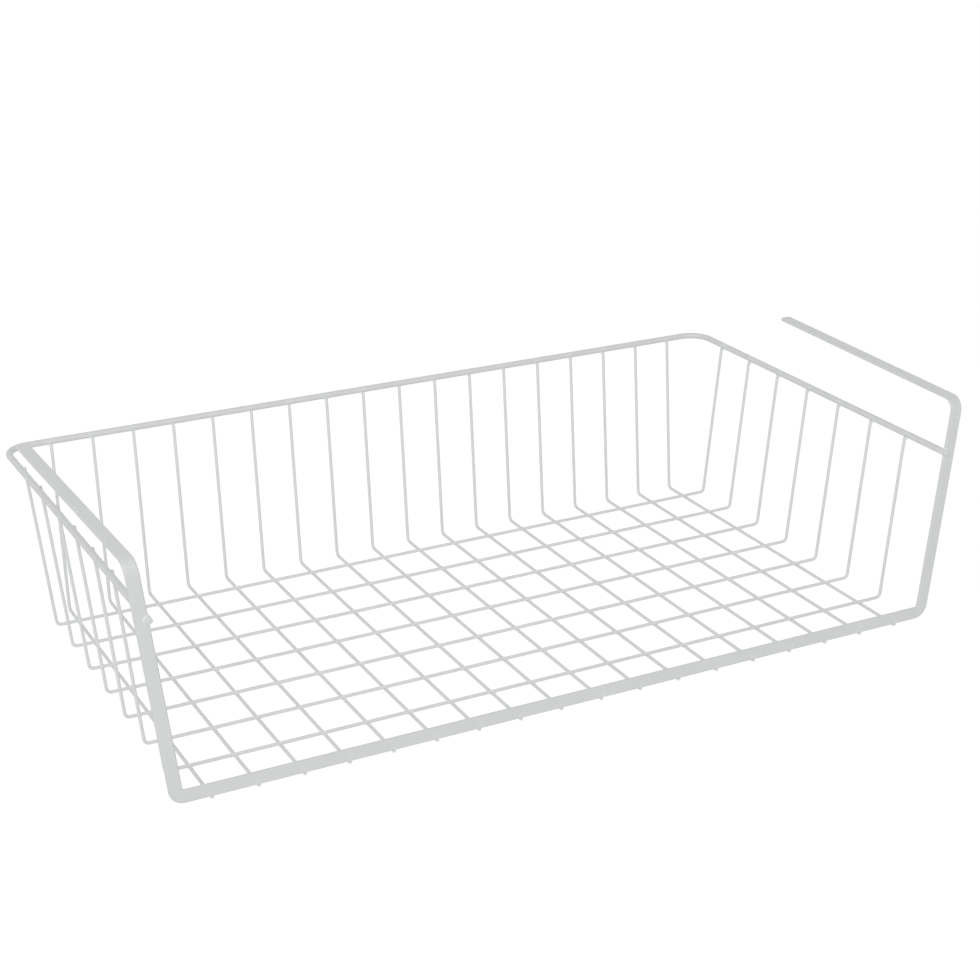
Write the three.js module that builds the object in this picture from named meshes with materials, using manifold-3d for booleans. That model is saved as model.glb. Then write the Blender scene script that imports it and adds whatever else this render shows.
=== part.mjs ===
// An under shelf basket of coated steel. A flat strip is bent into the front bar, two uprights
// and two arms that lie on a shelf. A round rim wire is let into the uprights' inner edges, and
// a grid of thin wires, bent up at the sides and the back, is welded inside both of them.
// Lengths are in millimetres and angles in degrees. X runs to the right, Y to the back, Z up.

import * as THREE from 'three';
import { mergeVertices } from 'three/addons/utils/BufferGeometryUtils.js';
import Module from 'manifold-3d';

// Stock, measured over the coating
const gridWireDiameter = 1.9;
const rimWireDiameter = 3.8;
const stripWidth = 7.4;
const stripThickness = 2;
const stripEdgeRadius = 0.6;

// Grid of the floor, the sides and the back
const longWireCount = 18;
const longWirePitch = 25;
const floorSideMargin = 13.7;
const crossWireCount = 7;
const firstCrossWireBehindBar = 32.4;
const lastCrossWireBeforeBackBend = 21.8;

// Basket, measured from the bar's middle plane and from the lowest face of the floor
const basketDepth = 260.4;
const rimHeight = 105.1;
const rimFrontNarrowing = 0.7;
const sideLean = 5.9;
const backLean = 4.8;
const uprightLean = 6.45;

// Arms, with their reach behind the bar and the clear height for a shelf board under them
const shelfGap = 27.8;
const armReach = 175.5;
const armSplay = 3.7;
const armRise = 1.5;

// Bends, as radii of a wire's axis or of the strip's inner face or edge
const gridBendRadius = 3;
const rimCornerRadius = 14;
const barCornerInsideRadius = 1.2;
const armBendInsideRadius = 6.5;
const armTipCornerRadius = 2.4;

// Welded joints
const weldGap = 0.1;
const rimSeatDepth = 2.4;
const rimSeatGap = 0.3;
const rimEndProud = 1.7;
const riserTopBelowRimTop = 2.5;
const longWireFrontInset = 0.9;
const cutterOverrun = 2;

// Facets
const gridWireSides = 12;
const rimWireSides = 16;
const stripEdgeSteps = 2;
const gridBendSteps = 6;
const rimCornerSteps = 8;
const barCornerSteps = 8;
const armBendSteps = 9;
const armTipSteps = 5;

// Heights of the three layers that lie on each other
const gridWireRadius = gridWireDiameter / 2;
const rimWireRadius = rimWireDiameter / 2;
const longWireZ = gridWireRadius;
const crossWireZ = longWireZ + gridWireDiameter + weldGap;
const barZ = longWireZ + gridWireRadius + weldGap + stripWidth / 2;

// Half widths and depths that follow from the grid outwards
const sideSlope = Math.tan(THREE.MathUtils.degToRad(sideLean));
const backSlope = Math.tan(THREE.MathUtils.degToRad(backLean));
const riserToRim = gridWireRadius + rimWireRadius + weldGap;
const floorHalfWidth = (longWireCount - 1) * longWirePitch / 2 + floorSideMargin;
const sideRiserHalfWidth = floorHalfWidth + (rimHeight - crossWireZ) * sideSlope;
const rimHalfWidth = sideRiserHalfWidth + riserToRim * Math.hypot(1, sideSlope);
const backRiserY = basketDepth - riserToRim * Math.hypot(1, backSlope);
const floorBackY = backRiserY - (rimHeight - longWireZ) * backSlope;
const crossWireSpan = floorBackY - lastCrossWireBeforeBackBend - firstCrossWireBehindBar;
const crossWirePitch = crossWireSpan / (crossWireCount - 1);
const riserTop = rimHeight + rimWireRadius - riserTopBelowRimTop;
const uprightSlope = Math.tan(THREE.MathUtils.degToRad(uprightLean));
const stripHalfAcrossLean = stripWidth / 2 * Math.hypot(1, uprightSlope);
const rimFrontHalfWidth = rimHalfWidth - rimFrontNarrowing;
const armHeight = rimHeight + rimWireRadius + shelfGap + stripThickness / 2;
const uprightHalfWidth = rimFrontHalfWidth + rimWireRadius - rimSeatDepth + stripHalfAcrossLean;
const barCornerHalfWidth = uprightHalfWidth - (rimHeight - barZ) * uprightSlope;
const armHalfWidth = uprightHalfWidth + (armHeight - rimHeight) * uprightSlope;
const rimFrontY = -stripThickness / 2 - rimEndProud;
const rimBackY = basketDepth + rimWireRadius;

// A path of straight legs joined by circular bends, cut into stations. Each leg carries a guide,
// the direction that the section's width points in, and a bend turns it evenly into the next.
class BentPath extends THREE.Curve {

  constructor(corners, guides, bendRadius, bendSteps) {
    super();
    this.stations = [];
    const last = corners.length - 1;
    this.addStation(corners[0], direction(corners[0], corners[1]), guides[0]);
    for (let i = 1; i < last; i++) {
      const bend = { radius: bendRadius[i - 1], steps: bendSteps[i - 1] };
      this.addBend(corners[i - 1], corners[i], corners[i + 1], guides[i - 1], guides[i], bend);
    }
    this.addStation(corners[last], direction(corners[last - 1], corners[last]), guides[last - 1]);
  }

  addStation(place, tangent, guide) {
    const width = guide.clone().addScaledVector(tangent, -guide.dot(tangent)).normalize();
    const depth = new THREE.Vector3().crossVectors(tangent, width);
    this.stations.push({ place: place.clone(), tangent: tangent.clone(), width, depth });
  }

  addBend(before, corner, after, guideIn, guideOut, bend) {
    const alongIn = direction(before, corner);
    const alongOut = direction(corner, after);
    const turn = alongIn.angleTo(alongOut);
    const room = Math.min(before.distanceTo(corner), corner.distanceTo(after)) / 2;
    const radius = Math.min(bend.radius, room / Math.tan(turn / 2));
    const start = corner.clone().addScaledVector(alongIn, -radius * Math.tan(turn / 2));
    const inward = alongOut.clone().addScaledVector(alongIn, -Math.cos(turn)).normalize();
    const centre = start.clone().addScaledVector(inward, radius);
    for (let k = 0; k <= bend.steps; k++) {
      const angle = turn * k / bend.steps;
      const tangent = alongIn.clone().multiplyScalar(Math.cos(angle));
      tangent.addScaledVector(inward, Math.sin(angle));
      const place = centre.clone().addScaledVector(inward, -radius * Math.cos(angle));
      place.addScaledVector(alongIn, radius * Math.sin(angle));
      this.addStation(place, tangent, guideIn.clone().lerp(guideOut, k / bend.steps));
    }
  }

  stationAt(u) {
    return this.stations[Math.round(u * (this.stations.length - 1))];
  }

  getPoint(u, target = new THREE.Vector3()) {
    return target.copy(this.stationAt(u).place);
  }

  getPointAt(u, target) {
    return this.getPoint(u, target);
  }

  computeFrenetFrames() {
    return {
      tangents: this.stations.map((station) => station.tangent),
      normals: this.stations.map((station) => station.width),
      binormals: this.stations.map((station) => station.depth),
    };
  }

}

function direction(from, to) {
  return to.clone().sub(from).normalize();
}

function point(x, y, z) {
  return new THREE.Vector3(x, y, z);
}

function sweep(section, path) {
  const steps = path.stations.length - 1;
  return new THREE.ExtrudeGeometry(section, { steps, extrudePath: path });
}

// A regular polygon with flats on its axes, measured across the flats
function roundSection(diameter, sides) {
  const cornerRadius = diameter / 2 / Math.cos(Math.PI / sides);
  const corners = [];
  for (let k = 0; k < sides; k++) {
    const angle = 2 * Math.PI * (k + 1 / 2) / sides;
    corners.push(new THREE.Vector2(Math.cos(angle), Math.sin(angle)).multiplyScalar(cornerRadius));
  }
  return new THREE.Shape(corners);
}

// The strip's rectangle with its four long edges rounded
function stripSection() {
  const centreX = stripWidth / 2 - stripEdgeRadius;
  const centreY = stripThickness / 2 - stripEdgeRadius;
  const corners = [];
  for (let quarter = 0; quarter < 4; quarter++) {
    const sideX = quarter === 0 || quarter === 3 ? 1 : -1;
    const sideY = quarter < 2 ? 1 : -1;
    for (let k = 0; k <= stripEdgeSteps; k++) {
      const angle = Math.PI / 2 * (quarter + k / stripEdgeSteps);
      const corner = new THREE.Vector2(Math.cos(angle), Math.sin(angle)).multiplyScalar(stripEdgeRadius);
      corners.push(corner.add(new THREE.Vector2(sideX * centreX, sideY * centreY)));
    }
  }
  return new THREE.Shape(corners);
}

// Solids for the boolean cuts
const wasm = await Module();
wasm.setup();

function toSolid(geometry) {
  const bare = geometry.clone();
  bare.deleteAttribute('normal');
  bare.deleteAttribute('uv');
  const merged = mergeVertices(bare);
  return new wasm.Manifold(new wasm.Mesh({
    numProp: 3,
    vertProperties: new Float32Array(merged.attributes.position.array),
    triVerts: new Uint32Array(merged.index.array),
  }));
}

function toGeometry(solid) {
  const mesh = solid.getMesh();
  const geometry = new THREE.BufferGeometry();
  geometry.setAttribute('position', new THREE.BufferAttribute(mesh.vertProperties, 3));
  geometry.setIndex(new THREE.BufferAttribute(mesh.triVerts, 1));
  geometry.computeVertexNormals();
  return geometry;
}

// The strip's path runs from the left arm's tip, down and along the bar, to the right arm's tip
function stripPath() {
  const lean = THREE.MathUtils.degToRad(uprightLean);
  const tip = (side) => point(side * (armHalfWidth + armSplay), armReach, armHeight + armRise);
  const top = (side) => point(side * armHalfWidth, 0, armHeight);
  const foot = (side) => point(side * barCornerHalfWidth, 0, barZ);
  const corners = [tip(-1), top(-1), foot(-1), foot(1), top(1), tip(1)];
  const guides = [
    point(1, 0, 0),
    point(Math.cos(lean), 0, Math.sin(lean)),
    point(0, 0, 1),
    point(-Math.cos(lean), 0, Math.sin(lean)),
    point(-1, 0, 0),
  ];
  const armBend = armBendInsideRadius + stripThickness / 2;
  const barBend = barCornerInsideRadius + stripWidth / 2;
  const radii = [armBend, barBend, barBend, armBend];
  const steps = [armBendSteps, barCornerSteps, barCornerSteps, armBendSteps];
  return new BentPath(corners, guides, radii, steps);
}

// What is cut away beyond an arm's tip to leave an end with two well rounded corners
function tipCutter(station, outward) {
  const reach = stripWidth / 2;
  const side = reach + cutterOverrun;
  const centreX = reach - armTipCornerRadius;
  const waste = new THREE.Shape();
  waste.moveTo(-side, -armTipCornerRadius);
  for (const half of [-1, 1]) {
    for (let k = 0; k <= armTipSteps; k++) {
      const angle = Math.PI / 2 * (half < 0 ? 2 - k / armTipSteps : 1 - k / armTipSteps);
      const x = half * centreX + armTipCornerRadius * Math.cos(angle);
      waste.lineTo(x, armTipCornerRadius * (Math.sin(angle) - 1));
    }
  }
  waste.lineTo(side, -armTipCornerRadius);
  waste.lineTo(side, cutterOverrun);
  waste.lineTo(-side, cutterOverrun);
  const height = stripThickness + 2 * cutterOverrun;
  const cutter = new THREE.ExtrudeGeometry(waste, { depth: height, bevelEnabled: false });
  cutter.translate(0, 0, -height / 2);
  const along = station.tangent.clone().multiplyScalar(outward);
  const up = new THREE.Vector3().crossVectors(station.width, along);
  cutter.applyMatrix4(new THREE.Matrix4().makeBasis(station.width, along, up).setPosition(station.place));
  return toSolid(cutter);
}

// The seat for the rim wire's end: a slot with a half round bottom, open to the basket's inside
function rimSeatCutter(side) {
  const radius = rimWireRadius + rimSeatGap;
  const cornerRadius = radius / Math.cos(Math.PI / rimWireSides);
  const slot = new THREE.Shape();
  const open = -(rimSeatDepth + cutterOverrun);
  slot.moveTo(open, -radius);
  for (let k = 0; k < rimWireSides / 2; k++) {
    const angle = 2 * Math.PI * (k + 1 / 2) / rimWireSides - Math.PI / 2;
    slot.lineTo(cornerRadius * Math.cos(angle), cornerRadius * Math.sin(angle));
  }
  slot.lineTo(open, radius);
  const length = stripThickness + 2 * cutterOverrun;
  const cutter = new THREE.ExtrudeGeometry(slot, { depth: length, bevelEnabled: false });
  cutter.translate(0, 0, -length / 2);
  cutter.rotateX(Math.PI / 2);
  if (side < 0) cutter.rotateZ(Math.PI);
  cutter.translate(side * rimFrontHalfWidth, 0, rimHeight);
  return toSolid(cutter);
}

function frameStrip() {
  const path = stripPath();
  const first = path.stations[0];
  const last = path.stations[path.stations.length - 1];
  const cutters = [tipCutter(first, -1), tipCutter(last, 1), rimSeatCutter(-1), rimSeatCutter(1)];
  const solid = cutters.reduce((body, cutter) => body.subtract(cutter), toSolid(sweep(stripSection(), path)));
  return toGeometry(solid);
}

// The rim runs from the right upright round the back to the left upright
function rimWire() {
  const corners = [
    point(rimFrontHalfWidth, rimFrontY, rimHeight),
    point(rimHalfWidth, basketDepth, rimHeight),
    point(-rimHalfWidth, basketDepth, rimHeight),
    point(-rimFrontHalfWidth, rimFrontY, rimHeight),
  ];
  const up = point(0, 0, 1);
  const radii = [rimCornerRadius, rimCornerRadius];
  const steps = [rimCornerSteps, rimCornerSteps];
  return sweep(roundSection(rimWireDiameter, rimWireSides), new BentPath(corners, [up, up, up], radii, steps));
}

// A cross wire lies on the long wires and rises on both sides, inside the rim
function crossWire(y) {
  const narrowing = rimFrontNarrowing * (basketDepth - y) / (basketDepth - rimFrontY);
  const slope = sideSlope - narrowing / (rimHeight - crossWireZ);
  const topHalfWidth = floorHalfWidth + (riserTop - crossWireZ) * slope;
  const corners = [
    point(-topHalfWidth, y, riserTop),
    point(-floorHalfWidth, y, crossWireZ),
    point(floorHalfWidth, y, crossWireZ),
    point(topHalfWidth, y, riserTop),
  ];
  const back = point(0, 1, 0);
  const radii = [gridBendRadius, gridBendRadius];
  const steps = [gridBendSteps, gridBendSteps];
  return sweep(roundSection(gridWireDiameter, gridWireSides), new BentPath(corners, [back, back, back], radii, steps));
}

// A long wire starts under the bar, runs to the back and rises there, inside the rim
function longWire(x) {
  const corners = [
    point(x, longWireFrontInset - stripThickness / 2, longWireZ),
    point(x, floorBackY, longWireZ),
    point(x, floorBackY + (riserTop - longWireZ) * backSlope, riserTop),
  ];
  const right = point(1, 0, 0);
  const path = new BentPath(corners, [right, right], [gridBendRadius], [gridBendSteps]);
  return sweep(roundSection(gridWireDiameter, gridWireSides), path);
}

// One sprayed and baked coating covers every piece, in the same pale cool grey white
function coating() {
  return new THREE.MeshStandardMaterial({ color: 0xd4d7d5, roughness: 0.42, metalness: 0 });
}

function named(name, geometry) {
  const mesh = new THREE.Mesh(geometry, coating());
  mesh.name = name;
  return mesh;
}

const basket = new THREE.Group();
basket.add(named('frame_strip', frameStrip()));
basket.add(named('rim_wire', rimWire()));
for (let j = 0; j < crossWireCount; j++) {
  basket.add(named(`cross_wire_${j + 1}`, crossWire(firstCrossWireBehindBar + j * crossWirePitch)));
}
for (let i = 0; i < longWireCount; i++) {
  const x = (i - (longWireCount - 1) / 2) * longWirePitch;
  basket.add(named(`long_wire_${i + 1}`, longWire(x)));
}

// The origin is under the middle of the whole basket, in the plane that the floor stands on
basket.position.set(0, -(rimFrontY + rimBackY) / 2, 0);

const underShelfBasket = new THREE.Group();
underShelfBasket.add(basket);

export default underShelfBasket;
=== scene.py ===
"""An under shelf basket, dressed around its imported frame.

A flat strip is bent into the front bar, two uprights and two arms that lie on a shelf. A round rim
wire is let into the uprights' inner edges, and a grid of thin wires is welded inside both. One
satin coating covers everything, gathers in the corners of the welds and thins on the strip's
edges. Lengths are in metres and angles in radians. X runs to the right, Y to the back, Z up.
"""
import math
from types import SimpleNamespace

import bmesh
import bpy
import numpy as np
from bpy.props import FloatProperty, FloatVectorProperty, IntProperty, PointerProperty
from mathutils import Matrix, Vector


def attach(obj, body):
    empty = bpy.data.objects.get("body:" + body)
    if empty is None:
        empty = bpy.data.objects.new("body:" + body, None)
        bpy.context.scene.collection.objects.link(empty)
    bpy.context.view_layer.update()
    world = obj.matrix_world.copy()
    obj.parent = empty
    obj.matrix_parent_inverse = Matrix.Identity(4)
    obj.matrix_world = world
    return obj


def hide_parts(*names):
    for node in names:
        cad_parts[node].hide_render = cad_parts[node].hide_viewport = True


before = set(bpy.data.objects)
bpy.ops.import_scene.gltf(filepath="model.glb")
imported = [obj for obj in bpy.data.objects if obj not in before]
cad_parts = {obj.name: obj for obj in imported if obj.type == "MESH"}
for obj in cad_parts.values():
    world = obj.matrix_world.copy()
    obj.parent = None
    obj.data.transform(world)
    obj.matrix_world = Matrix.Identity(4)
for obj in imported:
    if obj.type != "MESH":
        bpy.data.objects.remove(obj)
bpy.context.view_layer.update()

bl_info = {
    "name": "Under Shelf Basket",
    "version": (1, 0, 0),
    "blender": (4, 5, 0),
    "location": "3D View > Sidebar > Basket",
    "description": "Makes a welded and coated under shelf basket, piece by piece",
    "category": "Object",
}

# Facets: columns round a section, and steps along a bend or a corner
WIRE_SIDES, RIM_SIDES, COLLAR_SIDES = 16, 26, 12
GRID_BEND_STEPS, RIM_BEND_STEPS, BAR_BEND_STEPS, ARM_BEND_STEPS = 14, 22, 18, 20
DOME_STEPS, EDGE_STEPS, TIP_STEPS, MOUTH_STEPS, NOTCH_STEPS = 6, 5, 8, 6, 24

# Stops along the members, in millimetres: from a weld, from a weld under the bar, from the corner
# of an arm's tip and from a seat
WELD_STOPS = (-5, -2.4, -1.1, 0, 1.1, 2.4, 5)
BAR_STOPS = (-3.5, -1.2, 0, 1.2, 3.5)
TIP_STOPS = (0.3, 1, 4, 40, 90, 140)
SEAT_STOPS = (5, 7, 11)

# Ends of the round wires: height of their domes, the power that flattens a dome, how far the last
# weld lies from a wire's end, and how far a stop keeps off a bend
WIRE_DOME, RIM_DOME, DOME_POWER = 0.0005, 0.0006, 0.55
END_WELD, BEND_MARGIN = 0.001, 0.0012

# Edges of the strip: how far the small arcs at a seat's mouth are larger than the rolled edge, how
# far the faces' outermost rows lie inside the rolled edge's middle, and where the rows between the
# corners of an arm's tip lie, as shares of the half width
MOUTH_ROUNDING, FACE_INSET, TIP_ROWS = 0.0002, 0.0001, (0.6, 0.25, 0)

# Weld collars: how far an oval wraps round the lower member, the size of the two ovals that make
# the corner hollow, the rows of the curve between them, how deep the edges sink into the members
# and how deep the upper pole lies
COLLAR_WRAP, COLLAR_HOLLOW, COLLAR_ROWS = 0.93, 0.7, (0, 0.3, 0.7, 1)
COLLAR_SINK, COLLAR_POLE = 0.00004, 0.0006

# Middle and half length of the ovals: at the bar on the wire and on the bar, on a riser from its
# end, and on the rim in radii of the rim, added to half the height of the riser's end
BAR_OVALS = (0.0014, 0.0012), (0.0004, 0.0006)
RISER_OVAL, RIM_OVAL = (-0.0013, 0.0012), (-0.45, 0.47)

# Beads at the rim's seats, behind the strip and in front of it: the way they face, how far they
# reach round the rim, and their lengths out over the strip and up along the rim. For both, the
# angle over which they fade out, the corners of their hollow side and how deep they sink
SEAT_BEADS = ((1, 1.8, 0.0016, 0.0016), (-1, 2.2, 0.0015, 0.001))
BEAD_STEPS, BEAD_FADE, BEAD_CORNERS = 48, 0.9, 7
BEAD_SINK_IN_RIM, BEAD_SINK_IN_STRIP = 0.00008, 0.00003
BEAD_UNDERSIDE = ((-0.1, 1), (-0.1, -0.8), (0.85, -0.8))

# Filler in the seats: its angle to both sides, its overlap and its section
FILLER_TURN, FILLER_STEPS, FILLER_OVERLAP, FILLER_HEIGHT = 1.7, 31, 0.0001, 0.8
FILLER_SECTION = ((0, -1), (0.6, -1), (1, -0.8), (1, 0.8), (0.6, 1), (0, 1))

# Gussets in the seats' mouths: where the curve starts on the strip's edge, how far from the seat
# its first line ends, the angle where it meets the rim, the length of its last line, how deep it
# reaches into the strip, its share of the strip's thickness, how far it stands proud of the strip
# and how far it sinks into the rim
GUSSET_START, GUSSET_LEAVES, GUSSET_END, GUSSET_ARRIVES = 0.0046, 0.0034, 2.3, 0.0011
GUSSET_STEPS, GUSSET_DEPTH, GUSSET_WIDTH = 16, 0.0016, 0.97
GUSSET_PROUD, GUSSET_SINK = 0.00003, 0.00002

# The coat's ranges, each from none to all of its cause
# The gathered tone lightens the coat by the welds: partly the thicker coat, partly painted light
# that offsets the shade in the welds' corners.
# The grain's tone darkens the grain's hollows, as painted shade.
CLOUD_TONE, GRAIN_HOLLOW_SHADE, GATHERED_AND_PAINTED_LIGHT_TONE = (0.955, 1.035), (0.985, 1.015), (1.0, 1.06)
CLOUD_DULLNESS, GATHERED_SHINE, GATHERED_GRAIN = (-0.05, 0.05), (0.0, 0.08), (1.0, 0.3)
THIN_TONE, THIN_SHINE = (1.0, 0.93), (0.0, 0.12)
GATHER_REACH = 0.0026
WELDS_AT_ONCE = 24

# Floor sheet: its reach to all sides, its cells and its height
FLOOR_REACH, FLOOR_CELLS, FLOOR_Z = 9, 12, -0.0001

# Lamp and camera: their places, what the lamp faces and how the camera is turned
LAMP_PLACE, LAMP_AIM, LAMP_SIZE = (-1.1, -1.4, 1.35), (0, 0, 0.06), (1.3, 1.0)
CAMERA_PLACE = (-0.487217, -0.962948, 0.511172)
CAMERA_YAW, CAMERA_PITCH, CAMERA_ROLL = 0.477600, 0.379659, 0.003760
CAMERA_LENS = 73.135

# Coats by their stock: how much finer than the strip's their clouds are, and how far their tone is
# lifted. The lift on the thin wires and welds is painted light: their coat is the strip's.
COATS = {"strip": (1.0, 1.0), "rim": (1.6, 1.0), "wire": (2.4, 1.07)}


def to_linear(colour):
    """The scene's linear values of a colour given as it shows on a screen."""
    colour = np.asarray(colour, float)
    return tuple(np.where(colour <= 0.04045, colour / 12.92, ((colour + 0.055) / 1.055) ** 2.4))


COAT_COLOUR = to_linear((0.825, 0.833, 0.831))


def amount(name, value, description, **limits):
    """A number from zero up, with what else limits it."""
    return FloatProperty(name=name, description=description, default=value, min=0, **limits)


def length(name, millimetres, description):
    """A size of the basket, given in millimetres and kept in metres."""
    return amount(name, millimetres / 1000, description, precision=5, unit="LENGTH",
                  subtype="DISTANCE")


def angle(name, degrees, description):
    """An angle of the basket, given in degrees and kept in radians."""
    return FloatProperty(name=name, description=description, default=math.radians(degrees),
                         unit="ROTATION", subtype="ANGLE")


class BasketSizes(bpy.types.PropertyGroup):
    """The sizes of the solids, but one: the solids roll the strip's edges by 0.6 mm and leave out
    how the coat rounds them."""

    wire_diameter: length("Grid wire", 1.9, "Thickness of the grid's wires over the coating")
    rim_diameter: length("Rim wire", 3.8, "Thickness of the rim wire over the coating")
    strip_width: length("Strip width", 7.4, "Width of the flat strip")
    strip_thickness: length("Strip thickness", 2, "Thickness of the flat strip")
    strip_edge: length("Strip edge", 0.9, "Radius of the strip's four rolled and coated edges")
    long_wires: IntProperty(name="Long wires", description="Wires from bar to back", default=18)
    long_pitch: length("Long wire pitch", 25, "Distance between two long wires")
    side_margin: length("Side margin", 13.7, "From the last long wire to the side's bend")
    cross_wires: IntProperty(name="Cross wires", description="Wires from side to side", default=7)
    first_cross: length("First cross wire", 32.4, "From the bar to the first cross wire")
    last_cross: length("Last cross wire", 21.8, "From the last cross wire to the back bend")
    depth: length("Depth", 260.4, "From the bar to the rim's back run")
    rim_height: length("Rim height", 105.1, "Height of the rim's axis")
    narrowing: length("Front narrowing", 0.7, "How far each rim side runs in towards the front")
    side_lean: angle("Side lean", 5.9, "Outward lean of both sides")
    back_lean: angle("Back lean", 4.8, "Backward lean of the back")
    upright_lean: angle("Upright lean", 6.45, "Outward lean of the uprights")
    shelf_gap: length("Shelf gap", 27.8, "Clear height between the rim and the arms")
    arm_reach: length("Arm reach", 175.5, "Length of the arms behind the bar")
    arm_splay: length("Arm splay", 3.7, "How far each arm's tip stands out")
    arm_rise: length("Arm rise", 1.5, "How far each arm's tip stands up")
    grid_bend: length("Grid bend", 3, "Bend radius of the grid's wires, on the axis")
    rim_bend: length("Rim bend", 14, "Bend radius of the rim's back corners, on the axis")
    bar_bend: length("Bar bend", 1.2, "Bend radius of the bar's corners, on the inner edge")
    arm_bend: length("Arm bend", 6.5, "Bend radius under the arms, on the inner face")
    tip_corner: length("Tip corner", 2.4, "Radius of the two corners of each arm's tip")
    weld_gap: length("Weld gap", 0.1, "Clearance between two wires at a weld")
    seat_depth: length("Seat depth", 2.4, "How deep the rim lies in the strip's edge")
    seat_gap: length("Seat gap", 0.3, "Clearance round the rim in its seat")
    rim_proud: length("Rim end", 1.7, "How far the rim's ends stand out in front")
    riser_drop: length("Riser drop", 2.5, "From the rim's top down to the risers' ends")
    wire_inset: length("Wire inset", 0.9, "From the bar's face back to the long wires' ends")


class CoatingLook(bpy.types.PropertyGroup):
    """Colour, gloss and grain of the coating."""

    colour: FloatVectorProperty(name="Colour", description="Colour of the coating", size=3,
                                subtype="COLOR", min=0, max=1, default=COAT_COLOUR)
    roughness: amount("Roughness", 0.42, "Roughness of the satin skin", max=1, subtype="FACTOR")
    gloss: amount("Gloss", 0.12, "Weight of the clear skin", max=1, subtype="FACTOR")
    grain: length("Grain", 1.4, "Distance between two crests of the sprayed grain")
    grain_depth: length("Grain depth", 0.02, "Height of the sprayed grain")
    cloud: length("Clouding", 34, "Size of the soft patches of lighter and darker coat")


class StudioLook(bpy.types.PropertyGroup):
    """Light and floor."""

    level: amount("Level", 0.93, "Light from the horizon, where 1 is white")
    above: amount("Above", 0.48, "Light from straight above, where 1 is white")
    key: amount("Key", 16, "Power of the large front lamp", unit="POWER")
    floor: amount("Floor", 0.77, "Light from the floor, where 1 is white")
    shade: amount("Shade", 0.14, "How much of its shadow the floor shows", max=1,
                  subtype="FACTOR")


# Layout

def layout(s):
    """The places that follow from the sizes, from the grid outwards, as the solids work them out.
    The bar's middle plane is y = 0 until `at` moves a point into the object's own frame."""
    g = SimpleNamespace(s=s)
    g.wire = s.wire_diameter / 2
    g.rim = s.rim_diameter / 2
    g.half = s.strip_width / 2
    g.thick = s.strip_thickness / 2
    g.long_z = g.wire
    g.cross_z = g.long_z + s.wire_diameter + s.weld_gap
    g.bar_z = g.long_z + g.wire + s.weld_gap + g.half
    g.side = math.tan(s.side_lean)
    g.back = math.tan(s.back_lean)
    g.upright = math.tan(s.upright_lean)
    g.to_rim = g.wire + g.rim + s.weld_gap
    g.floor_x = (s.long_wires - 1) * s.long_pitch / 2 + s.side_margin
    g.rim_x = g.floor_x + (s.rim_height - g.cross_z) * g.side + g.to_rim * math.hypot(1, g.side)
    g.rim_front_x = g.rim_x - s.narrowing
    g.back_y = s.depth - g.to_rim * math.hypot(1, g.back)
    g.floor_y = g.back_y - (s.rim_height - g.long_z) * g.back
    g.cross_y = np.linspace(s.first_cross, g.floor_y - s.last_cross, s.cross_wires)
    g.long_x = (np.arange(s.long_wires) - (s.long_wires - 1) / 2) * s.long_pitch
    g.riser_top = s.rim_height + g.rim - s.riser_drop
    g.arm_z = s.rim_height + g.rim + s.shelf_gap + g.thick
    g.upright_x = g.rim_front_x + g.rim - s.seat_depth + g.half * math.hypot(1, g.upright)
    g.corner_x = g.upright_x - (s.rim_height - g.bar_z) * g.upright
    g.arm_x = g.upright_x + (g.arm_z - s.rim_height) * g.upright
    g.front_y = -g.thick - s.rim_proud
    g.wire_front_y = s.wire_inset - g.thick
    g.shift = np.array([0, -(g.front_y + s.depth + g.rim) / 2, 0])
    narrowed = s.narrowing * (s.depth - g.cross_y) / (s.depth - g.front_y)
    g.side_x = g.rim_x - narrowed
    g.side_slope = g.side - narrowed / (s.rim_height - g.cross_z)
    return g


def at(g, *corners):
    """Corners of a path, moved into the object's own frame."""
    return [np.array(corner, float) + g.shift for corner in corners]


def both_sides(g, *right):
    """Corners of a path from left to right, given those of its right half from the middle on."""
    right = np.array(right, float)
    return at(g, *(right[::-1] * [-1, 1, 1]), *right)


# Paths

def unit(vector):
    """The vector at length one."""
    return vector / np.linalg.norm(vector, axis=-1, keepdims=True)


def stations(place, tangent, guide):
    """Stations of a path: the width direction is the guide made square to the tangent, and the
    depth direction is square to both."""
    tangent = np.broadcast_to(tangent, place.shape)
    guide = np.broadcast_to(guide, place.shape)
    width = unit(guide - (guide * tangent).sum(1, keepdims=True) * tangent)
    return np.stack([place, tangent, width, np.cross(tangent, width)])


def leg(start, end, guide, distances):
    """Stations on a straight line: its start plus each distance times its direction."""
    tangent = unit(end - start)
    place = start + np.asarray(distances, float)[:, None] * tangent
    return stations(place, tangent, np.array(guide, float))


def turn_at(before, corner, after):
    """The directions of both lines of a corner, and the angle between them."""
    along, onward = unit(corner - before), unit(after - corner)
    return along, onward, math.acos(np.clip(along @ onward, -1, 1))


def bend(before, corner, after, guides, radius, steps):
    """Stations on the arc that touches both lines of a corner. At angle a its place is the start
    plus radius times (1 - cos a) inwards and sin a along, and the guide turns evenly."""
    along, onward, turn = turn_at(before, corner, after)
    inward = unit(onward - along * math.cos(turn))
    a = np.linspace(0, turn, steps + 1)[:, None]
    place = corner - along * radius * math.tan(turn / 2)
    place = place + radius * ((1 - np.cos(a)) * inward + np.sin(a) * along)
    guide = np.array(guides[0], float) + (np.array(guides[1], float) - guides[0]) * a / turn
    return stations(place, np.cos(a) * along + np.sin(a) * inward, guide)


def trim(before, corner, after, radius):
    """How much of each line a corner's arc takes."""
    return radius * math.tan(turn_at(before, corner, after)[2] / 2)


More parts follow.
